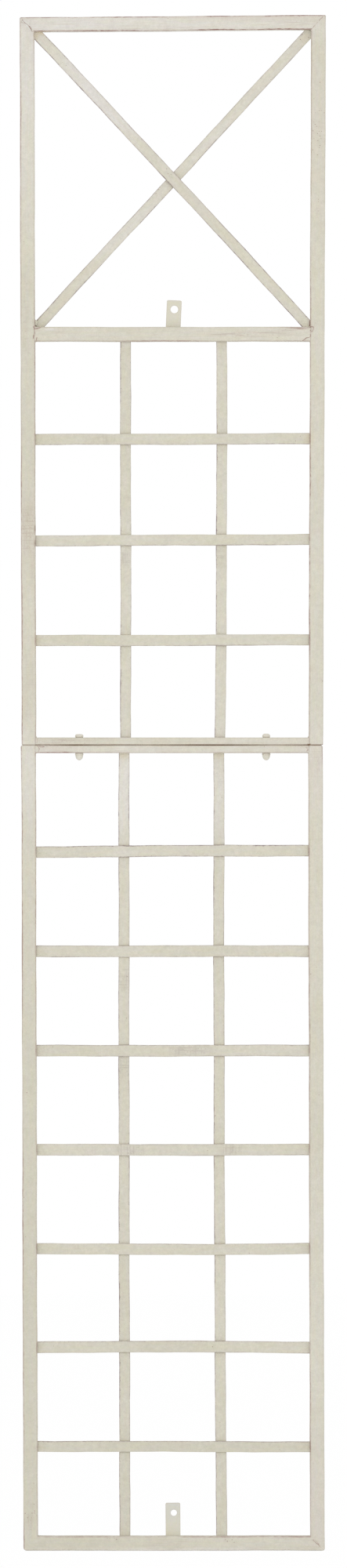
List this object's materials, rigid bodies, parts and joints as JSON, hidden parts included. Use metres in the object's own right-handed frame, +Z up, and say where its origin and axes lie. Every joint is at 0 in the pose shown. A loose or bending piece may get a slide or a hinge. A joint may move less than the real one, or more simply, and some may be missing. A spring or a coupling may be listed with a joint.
{
  "type": "espalier frame",
  "caption": "Tall wall espalier frame of painted square tube and flat bar: two bolted panels with a cross-braced bay above an open grid, and drilled lugs for fixing.",
  "frame": {"origin": "middle of the foot of the bottom rail, half way through its depth", "axes": "+X to the right seen from the front, +Y back towards the wall, +Z up along the stiles"},
  "size_m": [0.396, 0.019, 2],
  "materials": {
    "frame_paint": "matt antique cream over a brown undercoat, rubbed through along the edges",
    "fastener_paint": "the same cream paint, brushed over the fasteners"
  },
  "bodies": {
    "lower_frame": {"lower_left_stile": "frame_paint", "lower_right_stile": "frame_paint", "bottom_rail": "frame_paint", "lower_meeting_rail": "frame_paint", "lower_left_end_plate": "frame_paint", "lower_right_end_plate": "frame_paint", "lower_left_upright": "frame_paint", "lower_right_upright": "frame_paint", "lower_slat_1": "frame_paint", "lower_slat_2": "frame_paint", "lower_slat_3": "frame_paint", "lower_slat_4": "frame_paint", "lower_slat_5": "frame_paint", "lower_slat_6": "frame_paint", "lower_slat_7": "frame_paint", "lower_lug": "frame_paint", "lower_lug_weld": "frame_paint", "lower_bar_welds": "frame_paint"},
    "upper_frame": {"upper_left_stile": "frame_paint", "upper_right_stile": "frame_paint", "top_rail": "frame_paint", "brace_rail": "frame_paint", "upper_meeting_rail": "frame_paint", "upper_left_end_plate": "frame_paint", "upper_right_end_plate": "frame_paint", "front_brace": "frame_paint", "rear_brace": "frame_paint", "upper_left_upright": "frame_paint", "upper_right_upright": "frame_paint", "upper_slat_1": "frame_paint", "upper_slat_2": "frame_paint", "upper_slat_3": "frame_paint", "upper_lug": "frame_paint", "upper_lug_weld": "frame_paint", "upper_bar_welds": "frame_paint"},
    "left_bolt": {"left_bolt": "fastener_paint"},
    "right_bolt": {"right_bolt": "fastener_paint"},
    "left_cap_nut": {"left_cap_nut": "fastener_paint"},
    "right_cap_nut": {"right_cap_nut": "fastener_paint"}
  },
  "joints": [
    {"name": "upper_panel_lift", "type": "slide", "parent": "lower_frame", "child": "upper_frame", "axis": [0, 0, 1], "range_m": [0, 0.05]},
    {"name": "left_bolt_turn", "type": "hinge", "parent": "upper_frame", "child": "left_bolt", "pos_m": [-0.122, 0, 1.0605], "axis": [0, 0, 1], "range_deg": [0, 1440]},
    {"name": "right_bolt_turn", "type": "hinge", "parent": "upper_frame", "child": "right_bolt", "pos_m": [0.122, 0, 1.0605], "axis": [0, 0, 1], "range_deg": [0, 1440]},
    {"name": "left_nut_travel", "type": "slide", "parent": "lower_frame", "child": "left_cap_nut", "axis": [0, 0, -1], "range_m": [0, 0.004]},
    {"name": "right_nut_travel", "type": "slide", "parent": "lower_frame", "child": "right_cap_nut", "axis": [0, 0, -1], "range_m": [0, 0.004]}
  ],
  "couplings": [
    {"joint": "left_nut_travel", "follows": "left_bolt_turn", "m_per_rad": 0.00015915},
    {"joint": "right_nut_travel", "follows": "right_bolt_turn", "m_per_rad": 0.00015915}
  ]
}
